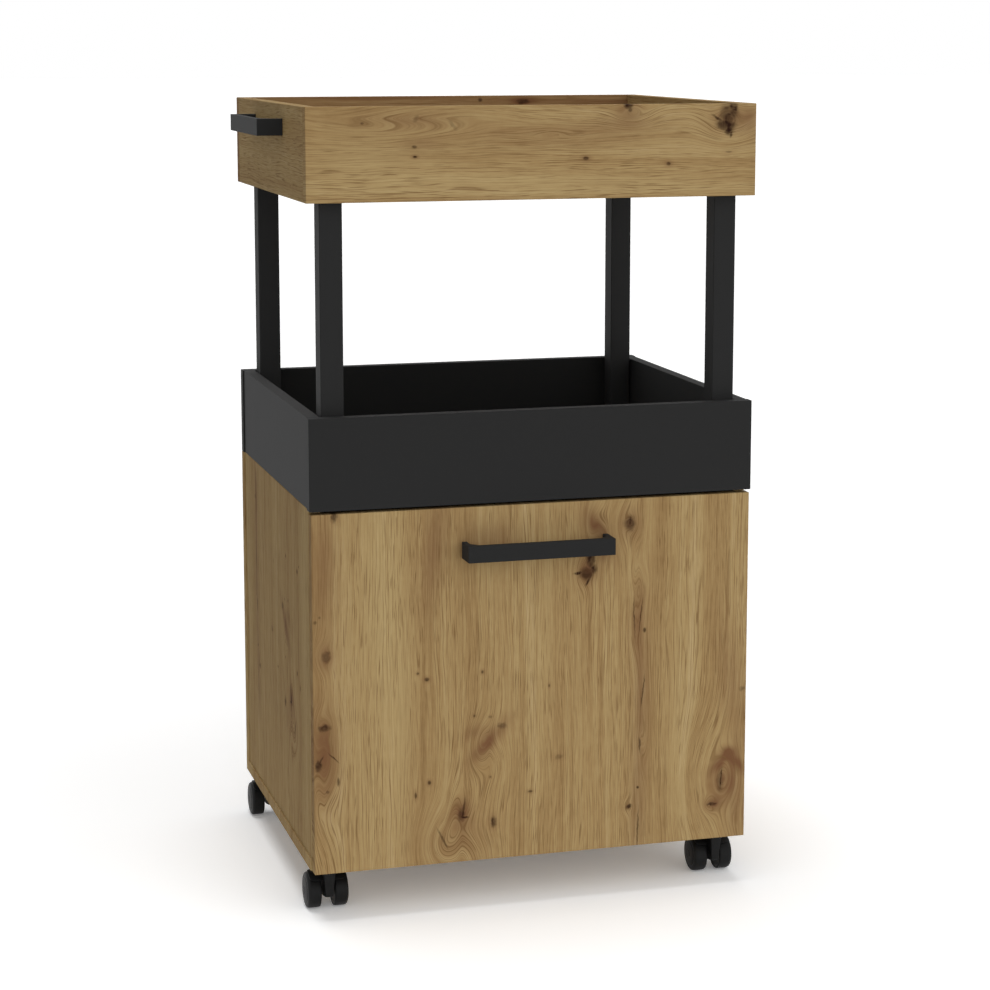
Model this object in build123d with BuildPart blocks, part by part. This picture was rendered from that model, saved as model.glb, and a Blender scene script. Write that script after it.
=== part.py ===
from build123d import *
import os

# A rolling bar cabinet: an oak carcass on four castors with one deep pull-out
# front, a black tray on top of it, four black posts and an oak tray above them.
# Millimetres. +X is to the right, +Y to the back and +Z up. The origin is on
# the floor, under the middle of the cabinet.

# Overall sizes
cabinet_width = 600.0
cabinet_depth = 490.0
board = 16.0  # every laminated board
carcass_height = 480.0  # underside of the bottom panel to the lower tray
tray_height = 120.0
tray_spacing = 272.0  # open height between the two trays
side_setback = 2.0  # the carcass sides stand back from the full-width boards
edge_break = 0.6  # small flat on every board edge

# Posts
post_size = 30.0
post_clearance = 2.0  # from the tray boards
post_edge = 1.0

# Pull-out front and its box
front_gap_above = 4.0
front_gap_behind = 3.0
front_side_reveal = 2.0
drawer_side_height = 220.0
drawer_rear_gap = 10.0  # between the drawer and the back panel
drawer_side_gap = 12.5  # room for a roller runner on each side
drawer_base = 3.0  # hardboard
base_groove_depth = 6.0
base_groove_height = 15.0  # above the lower edge of the drawer sides
base_fit = 0.2
drawer_floor_clearance = 14.0  # under the drawer sides

# Roller runners
runner_rear_gap = 7.0  # between the cabinet runners and the back panel
runner_steel = 1.2
runner_front_gap = 0.8  # between the drawer runner and the front
roller_diameter = 20.0
roller_width = 7.6
roller_fit = 0.3  # between a roller and the track it runs on
roller_end_gap = 0.3  # between a roller and the web or rivet head beside it
roller_setback = 14.0  # roller centre from the end of its runner
roller_bevel = 1.0
rivet_diameter = 5.0
rivet_head_diameter = 8.0
rivet_head = 0.8
pin_fit = 0.05  # radial play of every pin that turns in a hole
track_width = 10.0
retainer_width = 8.0
carrier_width = 9.0  # the drawer runner's flange over the cabinet roller
shelf_width = 12.0  # the drawer runner's flange under the drawer side
retainer_gap = 1.0
roller_height = 10.5  # roller centres above the drawer sides' lower edge
runner_screw_spots = (40.0, 190.0, 340.0)  # from the front end

# Handles, one on the front and one on the side of the upper tray
handle_hole_spacing = 192.0
handle_leg = 7.0
handle_bar = 8.0
handle_height = 22.0
handle_reach = 34.0
handle_chamfer = 10.0  # inner corners
handle_edge = 0.5
front_handle_drop = 56.0  # below the top of the front
side_handle_drop = 30.0  # below the top of the upper tray

# Castors
castor_height = 66.0
wheel_diameter = 48.0
wheel_width = 20.0
wheel_gap = 18.2  # between the two wheels of one castor
wheel_shoulder = 4.5
wheel_bevel = 1.0
wheel_dome = 2.0
hub_diameter = 20.0
castor_trail = 26.0  # axle behind the swivel pin
castor_inset_x = 29.0
castor_inset_y = 39.5
plate_size = 40.0
plate_thickness = 2.0
plate_corner = 5.0
plate_hole_spacing = 30.0
swivel_pin_diameter = 8.0
swivel_pin_length = 18.0
swivel_gap = 0.3
castor_head_diameter = 22.0
castor_head_height = 11.7
castor_web = 14.0
castor_boss_diameter = 16.0
castor_shoulder_width = 18.0
castor_shoulder_height = 10.0
hood_width = 50.0
hood_gap = 1.5  # over the wheels
hood_thickness = 2.5
hood_back_angle = 85.0  # degrees round the axle, from the back over the top
hood_front_angle = 135.0
axle_diameter = 6.0
axle_recess = 3.0  # axle ends inside the wheels

# Fasteners
dowel_diameter = 8.0
dowel_in_face = 10.0
dowel_in_edge = 14.0
dowel_end_gap = 0.5
fastener_fit = 0.05
connector_diameter = 6.0
connector_head_diameter = 10.0
connector_head = 3.0
connector_length = 50.0
connector_socket = 4.6
wood_screw_diameter = 3.5
wood_screw_length = 13.0
wood_screw_head_diameter = 7.0
wood_screw_head = 2.2
wood_screw_recess = 4.0
runner_screw_diameter = 4.0
runner_screw_head_diameter = 7.0
runner_screw_length = 12.0
runner_screw_socket = 2.8
machine_screw_diameter = 4.0
machine_screw_head_diameter = 8.0
machine_screw_head = 2.6
machine_screw_grip = 10.0  # thread inside a handle leg
machine_screw_recess = 5.0
cam_diameter = 15.0
cam_depth = 12.0
cam_slot = 8.0
cam_bolt_diameter = 5.0
cam_bolt_in_front = 11.0
head_bevel = 1.2
cross_slot = 1.0
recess_depth = 1.6

# Fastener places
floor_dowel_x = 150.0
floor_dowel_y = 120.0
corner_dowel_height = 78.0  # above the underside of a tray
seat_dowel_y = 180.0
post_dowel_offset = 8.5  # from the middle of a post
base_screw_y = 170.0
back_screw_x = 130.0
back_screw_heights = (90.0, 400.0)  # above the bottom panel
front_dowel_heights = (45.0, 175.0)  # above the drawer sides' lower edge
drawer_screw_heights = (70.0, 170.0)
cam_height = 110.0
cam_setback = 34.0  # behind the front
base_tack_x = 180.0

# Heights and places that follow
half_width = cabinet_width / 2
half_depth = cabinet_depth / 2
half_board = board / 2
carcass_base = castor_height
panel_top = carcass_base + board
lower_base = carcass_base + carcass_height
lower_deck = lower_base + board
upper_base = lower_base + tray_height + tray_spacing
upper_deck = upper_base + board
upper_top = upper_base + tray_height
side_outer = half_width - side_setback
side_inner = side_outer - board
inner_front = -half_depth + board  # back faces of the front boards
inner_back = half_depth - board  # front faces of the back boards
side_front = inner_front + front_gap_behind

os.makedirs("parts", exist_ok=True)


def save(piece, name):
    piece.part.label = name
    export_step(piece.part, f"parts/{name}.step")


def along_x(x, y, z):
    return Location((x, y, z), (0, 90, 0))


def along_y(x, y, z):
    return Location((x, y, z), (-90, 0, 0))


def along_z(x, y, z):
    return Location((x, y, z))


def corners(x, y):
    return [(sx * x, sy * y) for sx in (-1, 1) for sy in (-1, 1)]


def make_screw(radius, head_radius, head, length, sunk, recess):
    """A screw with its head up at the origin, and the wider hole it needs."""
    shapes = []
    for fit in (0.0, fastener_fit):
        tip = -length - fit
        rim = head_radius + fit
        if sunk:
            outline = [(0, 0), (rim, 0), (radius + fit, -head)]
            top = 0
        else:
            outline = [(0, head), (rim - head_bevel, head), (rim, head - head_bevel)]
            outline += [(rim, 0), (radius + fit, 0)]
            top = head
        with BuildPart() as screw:
            with BuildSketch(Plane.XZ):
                with BuildLine():
                    Polyline(*outline, (radius + fit, tip), (0, tip), close=True)
                make_face()
            revolve(axis=Axis.Z)
            if fit == 0:
                with BuildSketch(Plane.XY.offset(top)):
                    if sunk:
                        RegularPolygon(recess / 2, 6)
                    else:
                        Rectangle(recess, cross_slot)
                        Rectangle(cross_slot, recess)
                extrude(amount=-recess_depth, mode=Mode.SUBTRACT)
        shapes.append(screw.part)
    return shapes


def make_fasteners(shape, places, name):
    with BuildPart() as fasteners:
        with Locations(*places):
            add(shape)
    save(fasteners, name)


def cut_fasteners(shape, places):
    with Locations(*places):
        add(shape, mode=Mode.SUBTRACT)


def make_dowels(places, name):
    with BuildPart() as dowels:
        with Locations(*places):
            Cylinder(dowel_diameter / 2, dowel_in_face + dowel_in_edge)
    save(dowels, name)


def cut_dowels(places):
    """Blind holes for the dowels, a little longer than they are."""
    with Locations(*places):
        Cylinder(
            dowel_diameter / 2 + fastener_fit,
            dowel_in_face + dowel_in_edge + 2 * dowel_end_gap,
            mode=Mode.SUBTRACT,
        )


def shape_board(low, high):
    """A laminated board between two corners, with its edges broken."""
    with BuildPart() as piece:
        with BuildSketch(Plane.XY.offset(low[2])):
            with Locations(((low[0] + high[0]) / 2, (low[1] + high[1]) / 2)):
                Rectangle(high[0] - low[0], high[1] - low[1])
        extrude(amount=high[2] - low[2])
        chamfer(piece.edges(), edge_break)
    return piece.part


def make_board(name, low, high, dowels, holes=()):
    """A board with the holes for its dowels and screws."""
    blank = shape_board(low, high)
    with BuildPart() as piece:
        add(blank)
        if dowels:
            cut_dowels(dowels)
        for shape, places in holes:
            cut_fasteners(shape, places)
    save(piece, name)


# Fasteners
connector, connector_hole = make_screw(
    connector_diameter / 2,
    connector_head_diameter / 2,
    connector_head,
    connector_length,
    True,
    connector_socket,
)
wood_screw, wood_screw_hole = make_screw(
    wood_screw_diameter / 2,
    wood_screw_head_diameter / 2,
    wood_screw_head,
    wood_screw_length,
    False,
    wood_screw_recess,
)
runner_screw, runner_screw_hole = make_screw(
    runner_screw_diameter / 2,
    runner_screw_head_diameter / 2,
    runner_steel,
    runner_screw_length,
    True,
    runner_screw_socket,
)
machine_screw, machine_screw_hole = make_screw(
    machine_screw_diameter / 2,
    machine_screw_head_diameter / 2,
    machine_screw_head,
    board + machine_screw_grip,
    False,
    machine_screw_recess,
)

# Dowel places: dowel_in_face deep in one board and dowel_in_edge in the other
dowel_shift = (dowel_in_edge - dowel_in_face) / 2
side_middle = side_outer - half_board


def tray_dowels(base, side_face):
    edge_x = side_face - half_board
    floor_z = base + half_board
    corner_z = base + corner_dowel_height
    places = []
    for sx in (-1, 1):
        for y in (inner_front + dowel_shift, inner_back - dowel_shift):
            places.append(along_y(sx * edge_x, y, corner_z))
            places.append(along_y(sx * floor_dowel_x, y, floor_z))
        for y in (-floor_dowel_y, floor_dowel_y):
            places.append(along_x(sx * (side_face - board - dowel_shift), y, floor_z))
    return places


lower_dowels = tray_dowels(lower_base, side_outer)
upper_dowels = tray_dowels(upper_base, half_width)
seat_z = lower_base - dowel_shift
seat_dowels = [along_z(x, y, seat_z) for x, y in corners(side_middle, seat_dowel_y)]
seat_dowels += [along_z(s * floor_dowel_x, half_depth - half_board, seat_z) for s in (-1, 1)]

# Posts stand in the inner corners of the lower tray
post_x = side_inner - post_clearance - post_size / 2
post_y = inner_back - post_clearance - post_size / 2
post_names = {
    (-1, -1): "front_left_post",
    (1, -1): "front_right_post",
    (-1, 1): "back_left_post",
    (1, 1): "back_right_post",
}
lower_post_screws = [Location((x, y, lower_base), (180, 0, 0)) for x, y in corners(post_x, post_y)]
upper_post_screws = [along_z(x, y, upper_deck) for x, y in corners(post_x, post_y)]
dowel_spots = corners(post_x - post_dowel_offset, post_y - post_dowel_offset)
lower_post_dowels = [along_z(x, y, lower_deck + dowel_shift) for x, y in dowel_spots]
upper_post_dowels = [along_z(x, y, upper_base - dowel_shift) for x, y in dowel_spots]

# The side handle's screws come through the upper tray's left board
side_handle_z = upper_top - side_handle_drop
side_handle_screws = [
    along_x(-half_width + board, s * handle_hole_spacing / 2, side_handle_z) for s in (-1, 1)
]


# Trays: a floor and four boards, the front and back ones running full width
trays = (
    (
        "lower",
        lower_base,
        side_outer,
        lower_dowels + lower_post_dowels,
        lower_post_screws,
        [],
    ),
    (
        "upper",
        upper_base,
        half_width,
        upper_dowels + upper_post_dowels,
        upper_post_screws,
        side_handle_screws,
    ),
)
for prefix, base, side_face, dowels, floor_screws, left_screws in trays:
    top = base + tray_height
    inner = side_face - board
    make_board(
        f"{prefix}_tray_floor",
        (-inner, inner_front, base),
        (inner, inner_back, base + board),
        dowels,
        [(connector_hole, floor_screws)],
    )
    make_board(
        f"{prefix}_tray_front",
        (-half_width, -half_depth, base),
        (half_width, inner_front, top),
        dowels,
    )
    make_board(
        f"{prefix}_tray_back",
        (-half_width, inner_back, base),
        (half_width, half_depth, top),
        dowels + seat_dowels,
    )
    make_board(
        f"{prefix}_tray_left",
        (-side_face, inner_front, base),
        (-inner, inner_back, top),
        dowels + seat_dowels,
        [(machine_screw_hole, left_screws)] if left_screws else [],
    )
    make_board(
        f"{prefix}_tray_right",
        (inner, inner_front, base),
        (side_face, inner_back, top),
        dowels + seat_dowels,
    )

# Posts
for (sx, sy), name in post_names.items():
    with BuildPart() as post:
        with BuildSketch(Plane.XY.offset(lower_deck)):
            with Locations((sx * post_x, sy * post_y)):
                Rectangle(post_size, post_size)
        extrude(amount=upper_base - lower_deck)
        chamfer(post.edges().filter_by(Axis.Z), post_edge)
        cut_dowels(lower_post_dowels + upper_post_dowels)
        cut_fasteners(connector_hole, lower_post_screws + upper_post_screws)
    save(post, name)

# Carcass: the sides stand on the bottom panel, and the back covers them all
base_screws = [
    Location((sx * side_middle, y, carcass_base), (180, 0, 0))
    for sx in (-1, 1)
    for y in (-base_screw_y, 0, base_screw_y)
]
back_screws = [
    along_y(sx * side_middle, half_depth, panel_top + z)
    for sx in (-1, 1)
    for z in back_screw_heights
]
back_screws += [along_y(s * back_screw_x, half_depth, carcass_base + half_board) for s in (-1, 1)]

# Castor places, at the bottom panel's corners
swivel_x = half_width - castor_inset_x
swivel_y = half_depth - castor_inset_y
plate_base = carcass_base - plate_thickness
castor_screws = [
    Location((x + dx, y + dy, plate_base), (180, 0, 0))
    for x, y in corners(swivel_x, swivel_y)
    for dx, dy in corners(plate_hole_spacing / 2, plate_hole_spacing / 2)
]

make_board(
    "bottom_panel",
    (-half_width, side_front, carcass_base),
    (half_width, inner_back, panel_top),
    [],
    [(connector_hole, base_screws + back_screws), (wood_screw_hole, castor_screws)],
)
make_board(
    "back_panel",
    (-half_width, inner_back, carcass_base),
    (half_width, half_depth, lower_base),
    seat_dowels,
    [(connector_hole, back_screws)],
)

make_fasteners(
    connector,
    base_screws + back_screws + lower_post_screws + upper_post_screws,
    "cabinet_screws",
)
make_dowels(
    lower_dowels + upper_dowels + seat_dowels + lower_post_dowels + upper_post_dowels,
    "cabinet_dowels",
)

# Drawer box
drawer_half = side_inner - drawer_side_gap
drawer_bottom = panel_top + drawer_floor_clearance
drawer_top = drawer_bottom + drawer_side_height
drawer_rear = inner_back - drawer_rear_gap
drawer_side_inner = drawer_half - board
drawer_side_mid = drawer_half - half_board
base_low = drawer_bottom + base_groove_height
base_top = base_low + drawer_base + base_fit
base_half = drawer_side_inner + base_groove_depth
groove_front = inner_front - base_groove_depth
front_top = lower_base - front_gap_above
front_half = half_width - front_side_reveal

drawer_dowels = [
    along_y(sx * drawer_side_mid, inner_front + dowel_shift, drawer_bottom + z)
    for sx in (-1, 1)
    for z in front_dowel_heights
]
drawer_screws = [
    Location((sx * drawer_half, drawer_rear - half_board, drawer_bottom + z), (0, sx * 90, 0))
    for sx in (-1, 1)
    for z in drawer_screw_heights
]
base_tacks = [
    Location((x, drawer_rear - half_board, base_low), (180, 0, 0))
    for x in (-base_tack_x, 0, base_tack_x)
]

# Turned cams in the drawer sides pull the front in by its bolts
cam_y = inner_front + cam_setback
cam_z = drawer_bottom + cam_height
bolt_length = cam_bolt_in_front + cam_setback
bolt_y = cam_y - bolt_length / 2
with BuildPart() as cam_bolts:
    with Locations(*[along_y(s * drawer_side_mid, bolt_y, cam_z) for s in (-1, 1)]):
        Cylinder(cam_bolt_diameter / 2, bolt_length)
save(cam_bolts, "front_cam_bolts")

with BuildPart() as bolt_holes:
    with Locations(*[along_y(s * drawer_side_mid, bolt_y, cam_z) for s in (-1, 1)]):
        Cylinder(cam_bolt_diameter / 2 + fastener_fit, bolt_length + 2 * fastener_fit)

cam_middle = drawer_side_inner + cam_depth / 2
with BuildPart() as cams:
    with Locations(*[along_x(s * cam_middle, cam_y, cam_z) for s in (-1, 1)]):
        Cylinder(cam_diameter / 2, cam_depth)
    with Locations(*[along_x(s * drawer_side_inner, cam_y, cam_z) for s in (-1, 1)]):
        Box(cam_slot, cross_slot, 2 * recess_depth, mode=Mode.SUBTRACT)
        Box(cross_slot, cam_slot, 2 * recess_depth, mode=Mode.SUBTRACT)
    add(bolt_holes.part, mode=Mode.SUBTRACT)
save(cams, "front_cams")

# The groove that the drawer's base slides into on three sides
with BuildPart() as base_groove:
    with BuildSketch(Plane.XY.offset(base_low)):
        with Locations((0, (groove_front + drawer_rear) / 2)):
            Rectangle(2 * base_half, drawer_rear - groove_front)
    extrude(amount=drawer_base + base_fit)

with BuildPart() as drawer_floor:
    with BuildSketch(Plane.XY.offset(base_low)):
        with Locations((0, (groove_front + base_fit + drawer_rear) / 2)):
            Rectangle(2 * (base_half - base_fit), drawer_rear - groove_front - base_fit)
    extrude(amount=drawer_base)
    cut_fasteners(wood_screw_hole, base_tacks)
save(drawer_floor, "drawer_base")

make_board(
    "drawer_back",
    (-drawer_side_inner, drawer_rear - board, base_top),
    (drawer_side_inner, drawer_rear, drawer_top),
    [],
    [(connector_hole, drawer_screws), (wood_screw_hole, base_tacks)],
)

# The pull-out front, with the holes for its handle
front_handle_z = front_top - front_handle_drop
front_handle_screws = [
    along_y(s * handle_hole_spacing / 2, inner_front, front_handle_z) for s in (-1, 1)
]
front_blank = shape_board(
    (-front_half, -half_depth, carcass_base), (front_half, inner_front, front_top)
)
with BuildPart() as drawer_front:
    add(front_blank)
    add(base_groove.part, mode=Mode.SUBTRACT)
    add(bolt_holes.part, mode=Mode.SUBTRACT)
    cut_dowels(drawer_dowels)
    cut_fasteners(machine_screw_hole, front_handle_screws)
save(drawer_front, "drawer_front")

make_dowels(drawer_dowels, "drawer_dowels")
make_fasteners(connector, drawer_screws, "drawer_screws")
make_fasteners(wood_screw, base_tacks, "drawer_base_screws")

# Roller runners: heights of their flanges, then widths from the carcass side
roller_z = drawer_bottom + roller_height
roller_radius = roller_diameter / 2
track_top = roller_z - roller_radius - roller_fit
track_low = track_top - runner_steel
carrier_low = roller_z + roller_radius + roller_fit
carrier_top = carrier_low + runner_steel
retainer_low = carrier_top + retainer_gap
retainer_top = retainer_low + runner_steel
shelf_low = drawer_bottom - runner_steel
runner_z = (track_low + retainer_top) / 2
drawer_web = drawer_side_gap - runner_steel
cabinet_pin_end = runner_steel + roller_width + 2 * roller_end_gap
drawer_pin_end = drawer_web - roller_width - 2 * roller_end_gap
cabinet_roller_y = side_front + roller_setback
drawer_roller_y = drawer_rear - roller_setback


def shape_bar(points, back, length):
    """A bent steel section that runs from its back end towards the front."""
    with BuildPart() as bar:
        with BuildSketch(Plane.XZ.offset(-back)):
            with BuildLine():
                Polyline(*points, close=True)
            make_face()
        extrude(amount=length)
    return bar.part


def make_runner(bar, hole, screws, pin, name):
    """A runner with its screw holes and the rivet its roller turns on."""
    root, end, head_end, y = pin
    with BuildPart() as runner:
        add(bar)
        cut_fasteners(hole, screws)
        with Locations(along_x((root + end) / 2, y, roller_z)):
            Cylinder(rivet_diameter / 2, abs(end - root))
        with Locations(along_x((end + head_end) / 2, y, roller_z)):
            Cylinder(rivet_head_diameter / 2, abs(head_end - end))
    save(runner, name)


def make_roller(x, y, name):
    with BuildPart() as roller:
        with Locations(along_x(x, y, roller_z)):
            Cylinder(roller_radius, roller_width)
            chamfer(roller.edges().filter_by(GeomType.CIRCLE), roller_bevel)
            Cylinder(rivet_diameter / 2 + pin_fit, roller_width, mode=Mode.SUBTRACT)
    save(roller, name)


def across(side, distance):
    """The place at a distance from one carcass side towards the drawer."""
    return side * (side_inner - distance)


cabinet_runner_screws = []
drawer_runner_screws = []
for side, name in ((-1, "left"), (1, "right")):
    into_carcass = [
        Location((across(side, runner_steel), side_front + spot, runner_z), (0, -side * 90, 0))
        for spot in runner_screw_spots
    ]
    into_drawer = [
        Location((across(side, drawer_web), inner_front + spot, runner_z), (0, side * 90, 0))
        for spot in runner_screw_spots
    ]
    cabinet_runner_screws += into_carcass
    drawer_runner_screws += into_drawer

    low_x, high_x = sorted((side * side_inner, side * side_outer))
    make_board(
        f"{name}_side",
        (low_x, side_front, panel_top),
        (high_x, inner_back, lower_base),
        seat_dowels,
        [(connector_hole, base_screws + back_screws), (runner_screw_hole, into_carcass)],
    )

    low_x, high_x = sorted((side * drawer_side_inner, side * drawer_half))
    side_blank = shape_board(
        (low_x, inner_front, drawer_bottom), (high_x, drawer_rear, drawer_top)
    )
    with BuildPart() as drawer_side:
        add(side_blank)
        add(base_groove.part, mode=Mode.SUBTRACT)
        add(bolt_holes.part, mode=Mode.SUBTRACT)
        with Locations(along_x(side * cam_middle, cam_y, cam_z)):
            Cylinder(cam_diameter / 2 + fastener_fit, cam_depth, mode=Mode.SUBTRACT)
        cut_dowels(drawer_dowels)
        cut_fasteners(connector_hole, drawer_screws)
        cut_fasteners(runner_screw_hole, into_drawer)
    save(drawer_side, f"drawer_{name}_side")

    # On the cabinet: a web, the track below and a retaining lip above
    cabinet_bar = shape_bar(
        [
            (across(side, 0), track_low),
            (across(side, track_width), track_low),
            (across(side, track_width), track_top),
            (across(side, runner_steel), track_top),
            (across(side, runner_steel), retainer_low),
            (across(side, retainer_width), retainer_low),
            (across(side, retainer_width), retainer_top),
            (across(side, 0), retainer_top),
        ],
        inner_back - runner_rear_gap,
        inner_back - runner_rear_gap - side_front,
    )
    cabinet_pin = (
        across(side, runner_steel),
        across(side, cabinet_pin_end),
        across(side, cabinet_pin_end + rivet_head),
        cabinet_roller_y,
    )
    make_runner(
        cabinet_bar, runner_screw_hole, into_carcass, cabinet_pin, f"{name}_cabinet_runner"
    )

    # On the drawer: a shelf under its side, a web, and a flange that rides on
    # the cabinet's roller
    drawer_bar = shape_bar(
        [
            (across(side, drawer_web), shelf_low),
            (across(side, drawer_side_gap + shelf_width), shelf_low),
            (across(side, drawer_side_gap + shelf_width), drawer_bottom),
            (across(side, drawer_side_gap), drawer_bottom),
            (across(side, drawer_side_gap), carrier_top),
            (across(side, drawer_side_gap - carrier_width), carrier_top),
            (across(side, drawer_side_gap - carrier_width), carrier_low),
            (across(side, drawer_web), carrier_low),
        ],
        drawer_rear,
        drawer_rear - inner_front - runner_front_gap,
    )
    drawer_pin = (
        across(side, drawer_web),
        across(side, drawer_pin_end),
        across(side, drawer_pin_end - rivet_head),
        drawer_roller_y,
    )
    make_runner(drawer_bar, runner_screw_hole, into_drawer, drawer_pin, f"{name}_drawer_runner")

    cabinet_roller_x = across(side, runner_steel + roller_end_gap + roller_width / 2)
    drawer_roller_x = across(side, drawer_web - roller_end_gap - roller_width / 2)
    make_roller(cabinet_roller_x, cabinet_roller_y, f"{name}_cabinet_roller")
    make_roller(drawer_roller_x, drawer_roller_y, f"{name}_drawer_roller")

make_fasteners(runner_screw, cabinet_runner_screws, "cabinet_runner_screws")
make_fasteners(runner_screw, drawer_runner_screws, "drawer_runner_screws")


def make_handle(plane, name):
    """A flat bar with two square legs and bevelled inner corners.

    The plane's X runs along the bar and its Y leads away from the board.
    """
    half_length = (handle_hole_spacing + handle_leg) / 2
    inner_x = half_length - handle_leg
    inner_y = handle_reach - handle_bar
    with BuildPart() as handle:
        with BuildSketch(plane):
            with BuildLine():
                Polyline(
                    (-half_length, 0),
                    (-half_length, handle_reach),
                    (half_length, handle_reach),
                    (half_length, 0),
                    (inner_x, 0),
                    (inner_x, inner_y - handle_chamfer),
                    (inner_x - handle_chamfer, inner_y),
                    (handle_chamfer - inner_x, inner_y),
                    (-inner_x, inner_y - handle_chamfer),
                    (-inner_x, 0),
                    close=True,
                )
            make_face()
        extrude(amount=handle_height / 2, both=True)
        chamfer(handle.edges(), handle_edge)
        with BuildSketch(Plane(plane.origin, plane.x_dir, plane.y_dir)):
            with GridLocations(handle_hole_spacing, 0, 2, 1):
                Circle(machine_screw_diameter / 2 + fastener_fit)
        extrude(amount=machine_screw_grip + fastener_fit, mode=Mode.SUBTRACT)
    save(handle, name)


make_handle(Plane((0, -half_depth, front_handle_z), (1, 0, 0), (0, 0, -1)), "drawer_handle")
make_handle(Plane((-half_width, 0, side_handle_z), (0, 1, 0), (0, 0, 1)), "side_handle")
make_fasteners(machine_screw, front_handle_screws, "drawer_handle_screws")
make_fasteners(machine_screw, side_handle_screws, "side_handle_screws")

# Castors
wheel_radius = wheel_diameter / 2
wheel_inner = wheel_gap / 2
wheel_outer = wheel_inner + wheel_width
wheel_rim = wheel_outer - wheel_dome
axle_length = 2 * (wheel_outer - axle_recess)
hood_radius = wheel_radius + hood_gap + hood_thickness
hood_sweep = hood_front_angle - hood_back_angle
swivel_top = plate_base - swivel_gap
head_low = swivel_top - castor_head_height
castor_names = {
    (-1, -1): "front_left",
    (1, -1): "front_right",
    (-1, 1): "back_left",
    (1, 1): "back_right",
}

# Plates screwed under the bottom panel, each with its swivel pin
with BuildPart() as plates:
    with BuildSketch(Plane.XY.offset(plate_base)):
        with Locations(*corners(swivel_x, swivel_y)):
            RectangleRounded(plate_size, plate_size, plate_corner)
    extrude(amount=plate_thickness)
    cut_fasteners(wood_screw_hole, castor_screws)
    with BuildSketch(Plane.XY.offset(plate_base)):
        with Locations(*corners(swivel_x, swivel_y)):
            Circle(swivel_pin_diameter / 2)
    extrude(amount=-swivel_pin_length)
save(plates, "castor_plates")
make_fasteners(wood_screw, castor_screws, "castor_screws")


def hood_arc(axle_y, radius):
    """An arc round the axle, from behind the top of the wheels to the front."""
    return CenterArc((axle_y, wheel_radius), radius, hood_back_angle, hood_sweep)


for (sx, sy), name in castor_names.items():
    x, y = sx * swivel_x, sy * swivel_y
    axle_y = y + castor_trail

    # A round head on the swivel pin, a web that leads down to the axle, and a
    # hood over the wheels
    with BuildPart() as frame:
        with BuildSketch(Plane.YZ.offset(x - castor_web / 2)):
            with Locations((y, head_low - castor_shoulder_height / 2)):
                Rectangle(castor_shoulder_width, castor_shoulder_height)
            with Locations((axle_y, wheel_radius)):
                Circle(castor_boss_diameter / 2)
            make_hull()
            with BuildLine():
                outer = hood_arc(axle_y, hood_radius)
                Line((axle_y, wheel_radius), outer @ 0)
                Line(outer @ 1, (axle_y, wheel_radius))
            make_face()
        extrude(amount=castor_web)
        with BuildSketch(Plane.YZ.offset(x - hood_width / 2)):
            with BuildLine():
                outer = hood_arc(axle_y, hood_radius)
                inner = hood_arc(axle_y, hood_radius - hood_thickness)
                Line(outer @ 0, inner @ 0)
                Line(outer @ 1, inner @ 1)
            make_face()
        extrude(amount=hood_width)
        with BuildSketch(Plane.XY.offset(head_low)):
            with Locations((x, y)):
                Circle(castor_head_diameter / 2)
        extrude(amount=castor_head_height)
        with BuildSketch(Plane.XY.offset(swivel_top)):
            with Locations((x, y)):
                Circle(swivel_pin_diameter / 2 + pin_fit)
        extrude(amount=-swivel_pin_length, mode=Mode.SUBTRACT)
        with Locations(along_x(x, axle_y, wheel_radius)):
            Cylinder(axle_diameter / 2 + pin_fit, castor_web, mode=Mode.SUBTRACT)
    save(frame, f"{name}_castor_frame")

    with BuildPart() as axle:
        with Locations(along_x(x, axle_y, wheel_radius)):
            Cylinder(axle_diameter / 2, axle_length)
    save(axle, f"{name}_castor_axle")

    # Two wheels with round shoulders and a domed cover outside
    with BuildPart() as wheels:
        for s in (-1, 1):
            with BuildSketch(Plane((x, axle_y, wheel_radius), (s, 0, 0), (0, 0, 1))):
                with BuildLine():
                    Polyline(
                        (wheel_rim, wheel_radius - wheel_shoulder),
                        (wheel_outer, hub_diameter / 2),
                        (wheel_outer, 0),
                        (wheel_inner, 0),
                        (wheel_inner, wheel_radius - wheel_bevel),
                        (wheel_inner + wheel_bevel, wheel_radius),
                        (wheel_rim - wheel_shoulder, wheel_radius),
                    )
                    RadiusArc(
                        (wheel_rim - wheel_shoulder, wheel_radius),
                        (wheel_rim, wheel_radius - wheel_shoulder),
                        wheel_shoulder,
                    )
                make_face()
            revolve(axis=Axis((x, axle_y, wheel_radius), (1, 0, 0)))
        with Locations(along_x(x, axle_y, wheel_radius)):
            Cylinder(axle_diameter / 2, axle_length, mode=Mode.SUBTRACT)
    save(wheels, f"{name}_castor_wheels")
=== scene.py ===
import math

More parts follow.
